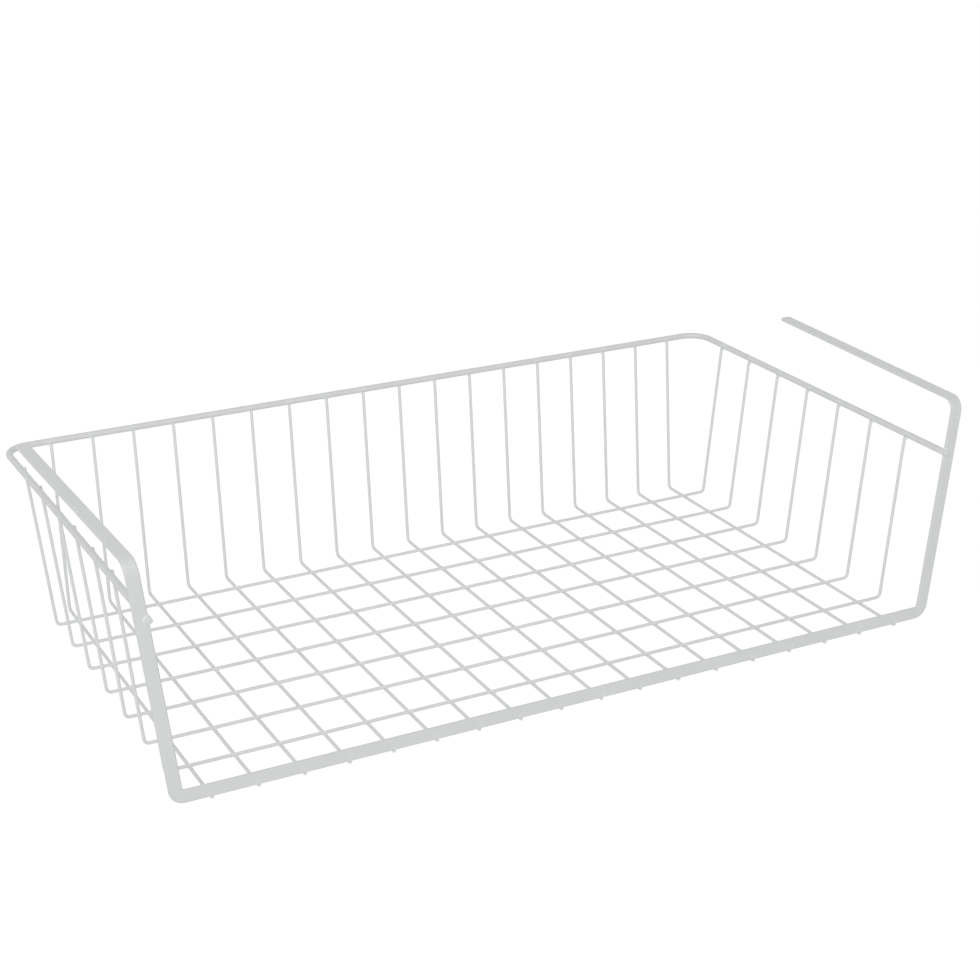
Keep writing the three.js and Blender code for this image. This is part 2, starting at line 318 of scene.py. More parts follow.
def wire_path(corners, guides, radius, steps, stops):
    """A wire's path: its straight lines with stations at the given stops, and an arc per corner.
    A stop is measured along its own line and is left out where the line has become an arc."""
    cut = [0] + [trim(*corners[i - 1:i + 2], radius) for i in range(1, len(corners) - 1)] + [0]
    parts = [leg(corners[0], corners[1], guides[0], [0])]
    for i, guide in enumerate(guides):
        start, end = corners[i], corners[i + 1]
        span = np.linalg.norm(end - start)
        keep = np.sort(stops[i])
        keep = keep[(keep > cut[i] + BEND_MARGIN) & (keep < span - cut[i + 1] - BEND_MARGIN)]
        parts.append(leg(start, end, guide, keep))
        if i + 1 < len(guides):
            parts.append(bend(start, end, corners[i + 2], guides[i:i + 2], radius, steps))
    parts.append(leg(start, end, guide, [span]))
    return np.concatenate(parts, axis=1)


def near(centres, offsets=WELD_STOPS):
    """Stops on both sides of each weld, where the coat changes its tone."""
    return (np.asarray(centres, float)[:, None] + np.array(offsets) / 1000).ravel()


# Surfaces

def sheet_faces(rows, columns, bodies=1):
    """Quads of bodies that are grids of rows and columns, closed round the columns."""
    corner = np.arange(bodies * rows * columns).reshape(bodies, rows, columns)
    after = np.roll(corner, -1, axis=2)
    quads = np.stack([corner[:, :-1], after[:, :-1], after[:, 1:], corner[:, 1:]], axis=-1)
    return quads.reshape(-1, 4)


def cubic(t, first, leaving, arriving, last):
    """A cubic curve that leaves its first place towards the second, and comes to its last place
    from the third."""
    return (1 - t) ** 3 * first + 3 * (1 - t) ** 2 * t * leaving \
        + 3 * (1 - t) * t ** 2 * arriving + t ** 3 * last


def round_wire(path, radius, dome, sides):
    """A circle carried along the path: the place plus radius times (cos v width + sin v depth).
    Both ends close in a flat dome, where the radius falls as cos u to the power 0.55 and the
    surface runs out by the dome's height times sin u to the power 0.55."""
    u = np.linspace(np.pi / 2, 0, DOME_STEPS + 1)
    shrink = np.append(0, np.cos(u[1:]) ** DOME_POWER)
    back = dome * (1 - np.sin(u) ** DOME_POWER)
    count = path.shape[1]
    index = np.clip(np.arange(-DOME_STEPS, count + DOME_STEPS), 0, count - 1)
    scale = np.concatenate([shrink, np.ones(count - 2), shrink[::-1]])[:, None, None]
    slide = np.concatenate([back, np.zeros(count - 2), -back[::-1]])[:, None, None]
    place, tangent, width, depth = path[:, index, None, :]
    v = (2 * np.pi * np.arange(sides) / sides)[None, :, None]
    points = place + slide * tangent + radius * scale * (np.cos(v) * width + np.sin(v) * depth)
    return points.reshape(-1, 3), sheet_faces(len(index), sides)


def plain_plan(g, count):
    """The strip's outline at plain stations. Each row holds the inner edge's distance along and
    across, its outward normal along and across, and the same for the outer edge. The edges are
    the core's, inside the rounded corners."""
    core = g.half - g.s.strip_edge
    return np.tile([0, core, 0, 1, 0, -core, 0, -1], (count, 1)).astype(float)


def tip_plan(g, outward):
    """The outline at an arm's tip. Each edge turns the corner on a quarter circle, at the corner's
    core radius times sin a along and cos a across, and runs straight on to the tip's middle."""
    corner = g.s.tip_corner
    core = corner - g.s.strip_edge
    a = np.linspace(0, np.pi / 2, TIP_STEPS + 1)
    inward = (g.half - corner) * np.append(np.ones(len(a)), TIP_ROWS)
    a = np.append(a, [np.pi / 2] * len(TIP_ROWS))
    plan = np.stack([core * np.sin(a), inward + core * np.cos(a), np.sin(a), np.cos(a)], axis=1)
    plan = np.concatenate([plan, plan * [1, -1, 1, -1]], axis=1)
    return plan if outward > 0 else plan[::-1] * [-1, 1, -1, 1, -1, 1, -1, 1]


def seat_plan(g):
    """The outline at the rim's seat in the inner edge: a small arc turns off the edge into a round
    notch about the rim, and a mirrored one turns out again. The outer edge runs on straight."""
    s = g.s
    edge = s.strip_edge
    small = edge + MOUTH_ROUNDING
    round_ = g.rim + s.seat_gap
    depth = (s.seat_depth - g.rim) * math.cos(s.upright_lean)
    reach = math.sqrt((round_ + small) ** 2 - (small - depth) ** 2)
    lean = math.atan2(small - depth, reach)
    a = np.linspace(0, np.pi / 2 + lean, MOUTH_STEPS + 1)
    first = np.stack([np.sin(a), np.cos(a)], axis=1)
    arc = np.linspace(np.pi - lean, lean, NOTCH_STEPS + 1)[1:-1]
    bottom = np.stack([np.cos(arc), -np.sin(arc)], axis=1)
    core_first = np.array([-reach, g.half - small]) + (small - edge) * first
    core_arc = np.array([0, g.half - depth]) + (round_ + edge) * bottom
    core = np.concatenate([core_first, core_arc, (core_first * [-1, 1])[::-1]])
    normal = np.concatenate([first, -bottom, (first * [-1, 1])[::-1]])
    plan = plain_plan(g, len(core))
    plan[:, 0:2] = core
    plan[:, 2:4] = normal
    plan[:, 4] = np.linspace(core[0, 0], core[-1, 0], len(core))
    return plan


def rolled_edge(g, inner):
    """The strip's rolled edge as two quarter circles at angle psi, with a flat between them and a
    row on each face at the inner distance. Gives the distance out from the circles' middles, the
    height across the thickness and how near to a crest it is, the size of sin 2 psi."""
    edge = g.s.strip_edge
    quarter = np.linspace(0, np.pi / 2, EDGE_STEPS + 1)
    psi = np.concatenate([quarter - np.pi / 2, quarter])
    level = np.repeat([-1, 1], len(quarter)) * (g.thick - edge)
    return (np.concatenate([[inner], edge * np.cos(psi), [inner]]),
            np.concatenate([[-g.thick], edge * np.sin(psi) + level, [g.thick]]),
            np.concatenate([[0], np.abs(np.sin(2 * psi)), [0]]))


def strip_surface(g, path, plan):
    """The strip's rounded rectangle carried along its path. A point's place is the station's, plus
    the core edge and the rolled edge's distance out along the edge's normal, in the strip's plane,
    plus its height across the thickness. Also gives how near each point is to a corner's crest."""
    out, height, crest = rolled_edge(g, -FACE_INSET)
    out, height, crest = np.tile(out, 2), np.append(height, -height), np.tile(crest, 2)
    side = np.repeat([0, 1], len(out) // 2)
    plan = plan.reshape(-1, 2, 4)[:, side]
    place, tangent, width, depth = path[:, :, None, :]
    along = (plan[..., 0] + out * plan[..., 2])[..., None]
    across = (plan[..., 1] + out * plan[..., 3])[..., None]
    points = place + along * tangent + across * width + height[None, :, None] * depth
    rows = len(plan)
    return points.reshape(-1, 3), sheet_faces(rows, len(out)), np.tile(crest, rows)


def weld_collars(centre, axis, normal, lower, rise_of, gap, on_lower, on_upper, reach):
    """Closed collars that fill the corners where two members cross at a weld. On the lower one,
    which runs along the axis, and on the upper one, which runs across it, lies an oval at angle
    phi, given by its middle and half length along the axis. From oval to oval runs a cubic curve
    that leaves each surface along it, so each corner is hollow. A pole inside each member closes
    the collar. The upper member's surface rises from the weld by a function of the place."""
    n = unit(normal)
    along = unit(axis - (axis * n).sum(1, keepdims=True) * n)
    over = np.cross(along, n)
    phi = 2 * np.pi * np.arange(COLLAR_SIDES) / COLLAR_SIDES
    cos, sin = np.cos(phi), np.sin(phi)

    def below(size):
        p = lower * COLLAR_WRAP * cos * size
        return np.stack([p, on_lower[0] + on_lower[1] * sin * size,
                         -gap / 2 - lower + np.sqrt(lower ** 2 - p ** 2) - COLLAR_SINK], axis=1)

    def above(size):
        q = on_upper[0] + on_upper[1] * sin * size
        return np.stack([reach * cos * size, q, gap / 2 + rise_of(q) + COLLAR_SINK], axis=1)

    t = np.array(COLLAR_ROWS)[:, None, None]
    band = cubic(t, below(1), below(COLLAR_HOLLOW), above(COLLAR_HOLLOW), above(1))
    low = np.tile([0, on_lower[0], -gap / 2 - lower], (1, COLLAR_SIDES, 1))
    high = np.tile([0, on_upper[0], gap / 2 + COLLAR_POLE], (1, COLLAR_SIDES, 1))
    local = np.concatenate([low, band, high])
    basis = np.stack([over, along, n], axis=1)
    points = centre[:, None, None, :] + np.einsum("rck,nkd->nrcd", local, basis)
    return points.reshape(-1, 3), sheet_faces(len(local), COLLAR_SIDES, len(centre))


def turned_ring(axis_place, axes, angles, radial, lift):
    """A section turned round an axis: at each angle the given distances out from the axis and
    along it. The three axes are the direction at angle zero, at a quarter turn and the axis."""
    cross, rise, along = axes
    ray = np.cos(angles)[:, None] * cross + np.sin(angles)[:, None] * rise
    points = axis_place + radial[..., None] * ray[:, None, :] + lift[..., None] * along
    return points.reshape(-1, 3), sheet_faces(len(angles), radial.shape[1])


def fillet_bead(axis_place, axes, turn, radius, face, out_length, up_length):
    """A hollow bead in the corner between a round wire and a flat face that it passes through. Its
    section has one hollow side that leaves the face and the wire along them. It is carried round
    the wire to both sides by the given angle. Near its ends it shrinks as the square of the share
    that is left times three minus twice that share."""
    a = np.linspace(-turn, turn, BEAD_STEPS)
    left = np.clip((turn - np.abs(a)) / BEAD_FADE, 0, 1)
    swell = (left ** 2 * (3 - 2 * left))[:, None]
    hollow = np.linspace(0, np.pi / 2, BEAD_CORNERS)
    section = np.stack([1 - np.sin(hollow), 1 - np.cos(hollow)], axis=1)
    out, up = np.concatenate([section, BEAD_UNDERSIDE]).T
    radial = radius + out_length * swell * out
    lift = face + up_length * swell * up
    return turned_ring(axis_place, axes, a, radial, lift)


def seat_filler(axis_place, axes, radius, gap, half_height):
    """Weld metal between a round wire and its seat, as wide as the gap all round the seat."""
    a = np.linspace(-FILLER_TURN, FILLER_TURN, FILLER_STEPS)
    out, up = np.array(FILLER_SECTION, float).T
    radial = np.tile(radius - FILLER_OVERLAP + (gap + 2 * FILLER_OVERLAP) * out, (len(a), 1))
    lift = np.tile(half_height * up, (len(a), 1))
    return turned_ring(axis_place, axes, a, radial, lift)


def seat_gusset(g, seat, side, turn):
    """Weld metal in one mouth of the rim's seat. In the strip's plane a cubic curve leaves the
    strip's edge along it and runs onto the rim's circle along it. The curve carries the strip's
    own rolled edge, so both flow into each other."""
    s = g.s
    cos, sin = math.cos(s.upright_lean), math.sin(s.upright_lean)
    across = np.array([side * cos, 0, -sin])
    along = np.array([side * sin, 0, cos]) * turn
    line = GUSSET_PROUD - (s.seat_depth - g.rim) * cos
    ray = np.array([math.cos(GUSSET_END), math.sin(GUSSET_END)])
    first, leaving = np.array([line, GUSSET_START]), np.array([line, GUSSET_LEAVES])
    last = ray * (g.rim - GUSSET_SINK)
    arriving = last + GUSSET_ARRIVES * np.array([ray[1], -ray[0]])
    t = np.linspace(0, 1, GUSSET_STEPS + 1)[:, None]
    curve = cubic(t, first, leaving, arriving, last)
    slope = unit((1 - t) ** 2 * (leaving - first) + 2 * (1 - t) * t * (arriving - leaving)
                 + t ** 2 * (last - arriving))
    outward = np.stack([slope[:, 1], -slope[:, 0]], axis=1)
    out, height, _ = rolled_edge(g, s.strip_edge - GUSSET_DEPTH)
    plan = curve[:, None, :] + (out - s.strip_edge)[None, :, None] * outward[:, None, :]
    points = seat + plan[..., :1] * across + plan[..., 1:] * along
    points = points + GUSSET_WIDTH * height[None, :, None] * [0, 1, 0]
    return points.reshape(-1, 3), sheet_faces(len(t), len(height))


# Pieces

def add_object(name, data):
    """A new object in the scene."""
    item = bpy.data.objects.new(name, data)
    bpy.context.scene.collection.objects.link(item)
    return item


def make_piece(name, points, faces, nodes, material, welds, crest=None):
    """Puts a surface into a mesh, closes its poles and seams, turns its faces outwards, marks
    where the coat gathers, and makes it a piece of the one rigid body."""
    mesh = bpy.data.meshes.new(name)
    mesh.vertices.add(len(points))
    mesh.vertices.foreach_set("co", np.ascontiguousarray(points, np.float32).ravel())
    mesh.loops.add(faces.size)
    mesh.loops.foreach_set("vertex_index", np.ascontiguousarray(faces, np.int32).ravel())
    mesh.polygons.add(len(faces))
    mesh.polygons.foreach_set("loop_start", np.arange(0, faces.size, 4, dtype=np.int32))
    mesh.update(calc_edges=True)
    # the gather mask also lifts the coat's tone by the welds, partly as painted light
    near_weld = mesh.attributes.new("gather", "FLOAT", "POINT")
    near_weld.data.foreach_set("value", gathering(points, welds).astype(np.float32))
    if crest is not None:
        on_crest = mesh.attributes.new("crest", "FLOAT", "POINT")
        on_crest.data.foreach_set("value", np.asarray(crest, np.float32))
    work = bmesh.new()
    work.from_mesh(mesh)
    bmesh.ops.remove_doubles(work, verts=work.verts, dist=2e-7)
    bmesh.ops.dissolve_degenerate(work, edges=work.edges, dist=1e-7)
    bmesh.ops.recalc_face_normals(work, faces=work.faces)
    work.to_mesh(mesh)
    work.free()
    mesh.polygons.foreach_set("use_smooth", np.ones(len(mesh.polygons), bool))
    mesh.update()
    mesh.materials.append(material)
    piece = add_object(name, mesh)
    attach(piece, "root")
    if nodes:
        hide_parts(*nodes)


def gathering(points, welds):
    """How much coat has gathered at each point: exp of minus the square of the distance to the
    nearest weld over the reach."""
    nearest = np.full(len(points), np.inf)
    for chunk in np.array_split(welds, max(1, len(welds) // WELDS_AT_ONCE)):
        gap = ((points[:, None, :] - chunk[None]) ** 2).sum(2)
        nearest = np.minimum(nearest, gap.min(1))
    return np.exp(-nearest / GATHER_REACH ** 2)


def side_by_side(*columns):
    """Places or directions from columns of x, y and z, where a single number fills its column."""
    return np.stack(np.broadcast_arrays(*columns), axis=-1).astype(float)


def weld_places(g):
    """The welds between crossing members: in the floor, under the bar and at the rim, behind and
    at the sides. Each kind has its places, the lower wire's direction and the normal."""
    s = g.s
    half_gap = s.weld_gap / 2
    x, y = [grid.ravel() for grid in np.meshgrid(g.long_x, g.cross_y)]
    floor = side_by_side(x, y, g.long_z + g.wire + half_gap)
    bar = side_by_side(g.long_x, g.wire_front_y, g.long_z + g.wire + half_gap)
    lean = s.back_lean
    n = np.array([0, math.cos(lean), -math.sin(lean)])
    back = side_by_side(g.long_x, s.depth, s.rim_height) - n * (g.rim + half_gap)
    side = np.repeat([-1.0, 1.0], g.cross_y.size)
    slope, y, across = np.tile([g.side_slope, g.cross_y, g.side_x], 2)
    stretch = np.hypot(1, slope)
    out = side_by_side(side / stretch, 0, -slope / stretch)
    sides = side_by_side(side * across, y, s.rim_height) - out * (g.rim + half_gap)
    rise = side_by_side(side * slope / stretch, 0, 1 / stretch)
    kinds = {
        "floor": (floor, (0, 1, 0), (0, 0, 1)),
        "bar": (bar, (0, 1, 0), (0, 0, 1)),
        "back": (back, (0, math.sin(lean), math.cos(lean)), n),
        "sides": (sides, rise, out),
    }
    return {kind: (place + g.shift, *(np.broadcast_to(np.array(direction, float), place.shape)
                                      for direction in directions))
            for kind, (place, *directions) in kinds.items()}


def seat_places(g):
    """The middles of the rim's two seats in the strip."""
    return side_by_side(np.array([-1, 1]) * g.rim_front_x, 0, g.s.rim_height) + g.shift


def all_welds(g):
    """The places of all welds and seats in one array."""
    return np.concatenate([kind[0] for kind in weld_places(g).values()] + [seat_places(g)])


def sizes_of(context):
    """The basket's layout with the sizes that the panel shows."""
    return layout(context.scene.basket_sizes)


# Materials

def empty_tree(owner):
    """The emptied node tree of a material or a world."""
    owner.use_nodes = True
    owner.node_tree.nodes.clear()
    return owner.node_tree


def add_node(tree, kind, *linked, **settings):
    """A node with its settings, where a name's underscores stand for spaces. Other nodes' outputs
    are linked: those in front to the first sockets, and one in a setting to its own."""
    node = tree.nodes.new("ShaderNode" + kind)
    for name, value in settings.items():
        socket = node.inputs.get(name.replace("_", " ")) if not hasattr(node, name) else None
        if socket is None:
            setattr(node, name, value)
        elif isinstance(value, bpy.types.NodeSocket):
            tree.links.new(value, socket)
        else:
            socket.default_value = value
    for output, socket in zip(linked, node.inputs):
        tree.links.new(output, socket)
    return node


def spread(tree, value, ends):
    """Turns a value of 0 to 1 into a value between two ends."""
    return add_node(tree, "MapRange", value, To_Min=ends[0], To_Max=ends[1]).outputs["Result"]


def combined(tree, operation, first, second):
    """What an operation makes of two values."""
    return add_node(tree, "Math", first, second, operation=operation).outputs[0]


def dimmed(tree, colour, factor):
    """A colour times a value."""
    return add_node(tree, "VectorMath", colour, operation="SCALE", Scale=factor).outputs["Vector"]


def sprayed_coat():
    """The group that every coating uses. From a place it makes slow clouds of tone, the fine
    rounded grain of a sprayed and baked coat with painted shade in its hollows, and a roughness
    that follows both. Where the coat has gathered it is smoother and the grain has flowed out;
    there it is also a little lighter, partly from the thicker coat and partly as painted light
    that offsets the shade in the welds' corners."""
    if "sprayed_coat" in bpy.data.node_groups:
        return bpy.data.node_groups["sprayed_coat"]
    tree = bpy.data.node_groups.new("sprayed_coat", "ShaderNodeTree")
    for name, kind, value in (
            ("Place", "Vector", (0, 0, 0)), ("Colour", "Color", (0.65, 0.66, 0.66, 1)),
            ("Cloud Scale", "Float", 30.0), ("Grain Scale", "Float", 700.0),
            ("Roughness", "Float", 0.4), ("Gathered", "Float", 0.0)):
        socket = tree.interface.new_socket(name, in_out="INPUT", socket_type="NodeSocket" + kind)
        socket.default_value = value
    for name, kind in (("Colour", "Color"), ("Roughness", "Float"), ("Height", "Float")):
        tree.interface.new_socket(name, in_out="OUTPUT", socket_type="NodeSocket" + kind)
    link = tree.links.new
    given = tree.nodes.new("NodeGroupInput").outputs
    result = tree.nodes.new("NodeGroupOutput").inputs

    cloud = add_node(tree, "TexNoise", given["Place"], Scale=given["Cloud Scale"],
                     Detail=3.0, Roughness=0.5).outputs["Fac"]
    grain = add_node(tree, "TexNoise", given["Place"], Scale=given["Grain Scale"],
                     Detail=1.5, Roughness=0.45).outputs["Fac"]

    # tone: clouds first, then painted shade in the grain's hollows, then the gathered coat,
    # lighter by the welds partly as painted light
    tone = combined(tree, "MULTIPLY", spread(tree, cloud, CLOUD_TONE),
                    spread(tree, grain, GRAIN_HOLLOW_SHADE))
    tone = combined(tree, "MULTIPLY", tone, spread(tree, given["Gathered"], GATHERED_AND_PAINTED_LIGHT_TONE))
    link(dimmed(tree, given["Colour"], tone), result["Colour"])

    # roughness: duller in the clouds, smoother where the coat has flowed
    rough = combined(tree, "ADD", given["Roughness"], spread(tree, cloud, CLOUD_DULLNESS))
    rough = combined(tree, "SUBTRACT", rough, spread(tree, given["Gathered"], GATHERED_SHINE))
    link(rough, result["Roughness"])

    # grain, flattened where the coat has gathered
    flat = spread(tree, given["Gathered"], GATHERED_GRAIN)
    link(combined(tree, "MULTIPLY", grain, flat), result["Height"])
    return tree


def coating(context, stock):
    """The coating on the strip, on the rim, or on the thin wires and in the welds' corners. The
    strip's also pulls back from its sharp edges, where it is a touch darker and glossier. The copy
    on the thin wires and in the welds is painted lighter, as painted light."""
    name = "coat_on_" + stock
    if name in bpy.data.materials:
        return bpy.data.materials[name]
    look = context.scene.coating_look
    # a lift above one, on the thin wires and welds, is painted light
    finer, painted_light_lift = COATS[stock]
    material = bpy.data.materials.new(name)
    material.diffuse_color = (*look.colour, 1)
    tree = empty_tree(material)

    place = add_node(tree, "TexCoord").outputs["Object"]
    gathered = add_node(tree, "Attribute", attribute_name="gather").outputs["Fac"]
    coat = add_node(tree, "Group", node_tree=sprayed_coat(), Place=place, Gathered=gathered,
                    Colour=(*(part * painted_light_lift for part in look.colour), 1),
                    Cloud_Scale=finer / look.cloud, Grain_Scale=1 / look.grain,
                    Roughness=look.roughness).outputs
    colour, rough = coat["Colour"], coat["Roughness"]

    if stock == "strip":
        crest = add_node(tree, "Attribute", attribute_name="crest").outputs["Fac"]
        patchy = add_node(tree, "TexNoise", place, Scale=90.0, Detail=2.0).outputs["Fac"]
        thin = combined(tree, "MULTIPLY", crest, patchy)
        colour = dimmed(tree, colour, spread(tree, thin, THIN_TONE))
        rough = combined(tree, "SUBTRACT", rough, spread(tree, thin, THIN_SHINE))

    bump = add_node(tree, "Bump", Strength=0.6, Distance=look.grain_depth, Height=coat["Height"])
    shader = add_node(tree, "BsdfPrincipled", colour, Roughness=rough, IOR=1.5,
                      Coat_Weight=look.gloss, Coat_Roughness=0.22, Normal=bump.outputs["Normal"])
    add_node(tree, "OutputMaterial", shader.outputs["BSDF"])
    return material


# Operators

class MakeStrip(bpy.types.Operator):
    """Bend the flat strip into the bar, the uprights and the arms, and cut the rim's seats."""

    bl_idname = "basket.strip"
    bl_label = "Frame strip"

    def execute(self, context):
        """Makes the strip from the left arm's tip, down, along the bar and up to the right one."""
        g = sizes_of(context)
        s = g.s
        corners = both_sides(g, (g.corner_x, 0, g.bar_z), (g.arm_x, 0, g.arm_z),
                             (g.arm_x + s.arm_splay, s.arm_reach, g.arm_z + s.arm_rise))
        cos, sin = math.cos(s.upright_lean), math.sin(s.upright_lean)
        guides = [(1, 0, 0), (cos, 0, sin), (0, 0, 1), (-cos, 0, sin), (-1, 0, 0)]
        bends = [(s.arm_bend + g.thick, ARM_BEND_STEPS), (s.bar_bend + g.half, BAR_BEND_STEPS)]
        bends += bends[::-1]
        spans = [np.linalg.norm(b - a) for a, b in zip(corners, corners[1:])]
        seat = (g.arm_z - s.rim_height) / cos + (g.half / cos + g.rim - s.seat_depth) * sin
        corner = s.tip_corner
        arm = corner + np.array(TIP_STOPS) / 1000
        beside = np.array(SEAT_STOPS) / 1000
        bar = np.sort(near(g.long_x + g.corner_x, BAR_STOPS))
        left, right = [[(place - beside[::-1], None), (place, seat_plan(g)),
                        (place + beside, None)] for place in (seat, spans[3] - seat)]
        stops = [
            [(corner, tip_plan(g, -1)), (arm, None)],
            left, [(bar, None)], right,
            [(spans[4] - arm[::-1], None), (spans[4] - corner, tip_plan(g, 1))],
        ]
        path, plan = [], []
        for i, run in enumerate(stops):
            for distances, outline in run:
                outline = plain_plan(g, len(distances)) if outline is None else outline
                distances = np.broadcast_to(distances, len(outline))
                path.append(leg(corners[i], corners[i + 1], guides[i], distances))
                plan.append(outline)
            if i < len(bends):
                path.append(bend(*corners[i:i + 3], guides[i:i + 2], *bends[i]))
                plan.append(plain_plan(g, bends[i][1] + 1))
        points, faces, crest = strip_surface(g, np.concatenate(path, axis=1), np.concatenate(plan))
        make_piece("coated_strip", points, faces, ["frame_strip"], coating(context, "strip"),
                   all_welds(g), crest)
        return {"FINISHED"}


class MakeRim(bpy.types.Operator):
    """Bend the rim wire round three sides. Its two ends stand out in front of the strip."""

    bl_idname = "basket.rim"
    bl_label = "Rim wire"

    def execute(self, context):
        """Makes the rim from the right upright round the back to the left upright."""
        g = sizes_of(context)
        s = g.s
        corners = both_sides(g, (g.rim_x, s.depth, s.rim_height),
                             (g.rim_front_x, g.front_y, s.rim_height))[::-1]
        side_stops = np.append(near(g.cross_y - g.front_y), near([-g.front_y]))
        back_stops = near(g.long_x + g.rim_x)
        span = np.linalg.norm(corners[1] - corners[0])
        path = wire_path(corners, [(0, 0, 1)] * 3, s.rim_bend, RIM_BEND_STEPS,
                         [side_stops, back_stops, span - side_stops])
        points, faces = round_wire(path, g.rim, RIM_DOME, RIM_SIDES)
        make_piece("coated_rim", points, faces, ["rim_wire"], coating(context, "rim"),
                   all_welds(g))
        return {"FINISHED"}


def make_grid_wire(context, g, name, corners, guide, stops):
    """Bends one of the grid's wires, in place of the node of its name."""
    path = wire_path(corners, [guide] * len(stops), g.s.grid_bend, GRID_BEND_STEPS, stops)
    points, faces = round_wire(path, g.wire, WIRE_DOME, WIRE_SIDES)
    make_piece("coated_" + name, points, faces, [name], coating(context, "wire"), all_welds(g))


class MakeCrossWires(bpy.types.Operator):
    """Bend the cross wires that lie across the floor and rise on both sides inside the rim."""

    bl_idname = "basket.cross_wires"
    bl_label = "Cross wires"

    def execute(self, context):
        """Makes the cross wires from front to back."""
        g = sizes_of(context)
        ends = near([END_WELD])
        for j, (y, slope) in enumerate(zip(g.cross_y, g.side_slope)):
            top = g.floor_x + (g.riser_top - g.cross_z) * slope
            corners = both_sides(g, (g.floor_x, y, g.cross_z), (top, y, g.riser_top))
            rise = np.linalg.norm(corners[1] - corners[0])
            stops = [ends, near(g.long_x + g.floor_x), rise - ends]
            make_grid_wire(context, g, f"cross_wire_{j + 1}", corners, (0, 1, 0), stops)
        return {"FINISHED"}


class MakeLongWires(bpy.types.Operator):
    """Bend the long wires that run from under the bar to the back and rise inside the rim."""

    bl_idname = "basket.long_wires"
    bl_label = "Long wires"

    def execute(self, context):
        """Makes the long wires from left to right."""
        g = sizes_of(context)
        ends = near([END_WELD])
        top_y = g.floor_y + (g.riser_top - g.long_z) * g.back
        floor_stops = np.append(near(g.cross_y - g.wire_front_y), ends)
        for i, x in enumerate(g.long_x):
            corners = at(g, (x, g.wire_front_y, g.long_z), (x, g.floor_y, g.long_z),
                         (x, top_y, g.riser_top))
            stops = [floor_stops, np.linalg.norm(corners[2] - corners[1]) - ends]
            make_grid_wire(context, g, f"long_wire_{i + 1}", corners, (1, 0, 0), stops)
        return {"FINISHED"}


class MakeWelds(bpy.types.Operator):
    """Fill the corners of all welds: floor crossings, bar, rim and the rim's seats."""

    bl_idname = "basket.welds"
    bl_label = "Welds"

    def execute(self, context):
        """Makes one piece for each kind of weld."""
        g = sizes_of(context)
        s = g.s
        places = weld_places(g)
        coat = coating(context, "wire")
        w = g.wire
        end = g.riser_top - s.rim_height
        riser = (end + RISER_OVAL[0], RISER_OVAL[1])
        hold = [end / 2 + g.rim * part for part in RIM_OVAL]

        def round_rise(radius):
            return lambda place: radius - np.sqrt(radius ** 2 - place ** 2)

        def bar_rise(place):
            past = np.maximum(np.abs(place + g.wire_front_y) - g.thick + s.strip_edge, 0)
            return s.strip_edge - np.sqrt(np.maximum(s.strip_edge ** 2 - past ** 2, 0))

        # piece, kind, rise of the upper member, middle and half length of both ovals, and the
        # upper oval's half width
        kinds = (
            ("floor_welds", "floor", round_rise(w), (0, 1.5 * w), (0, 0.9 * w), 1.5 * w),
            ("bar_welds", "bar", bar_rise, *BAR_OVALS, 1.6 * w),
            ("back_rim_welds", "back", round_rise(g.rim), riser, hold, 2.0 * w),
            ("side_rim_welds", "sides", round_rise(g.rim), riser, hold, 2.0 * w),
        )
        for name, key, rise, on_lower, on_upper, reach in kinds:
            centre, axis, normal = places[key]
            points, faces = weld_collars(centre, axis, normal, w, rise, s.weld_gap,
                                         on_lower, on_upper, reach)
            make_piece(name, points, faces, [], coat, centre)
        self.make_seat_welds(g, seat_places(g), coat)
        return {"FINISHED"}

    def make_seat_welds(self, g, seats, coat):
        """Makes the beads, the filler and the gussets that hold the rim in the strip."""
        right, ahead, up = np.eye(3)
        points, faces, count = [], [], 0
        for side, seat in zip((-1, 1), seats):
            out = side * right
            metal = [fillet_bead(seat, (out, up, facing * ahead), turn, g.rim - BEAD_SINK_IN_RIM,
                                 g.thick - BEAD_SINK_IN_STRIP, out_length, up_length)
                     for facing, turn, out_length, up_length in SEAT_BEADS]
            metal.append(seat_filler(seat, (out, up, ahead), g.rim, g.s.seat_gap,
                                     g.thick * FILLER_HEIGHT))
            metal += [seat_gusset(g, seat, side, turn) for turn in (-1, 1)]
            for surface, quads in metal:
                points.append(surface)
                faces.append(quads + count)
                count += len(surface)
        make_piece("seat_welds", np.concatenate(points), np.concatenate(faces), [], coat, seats)


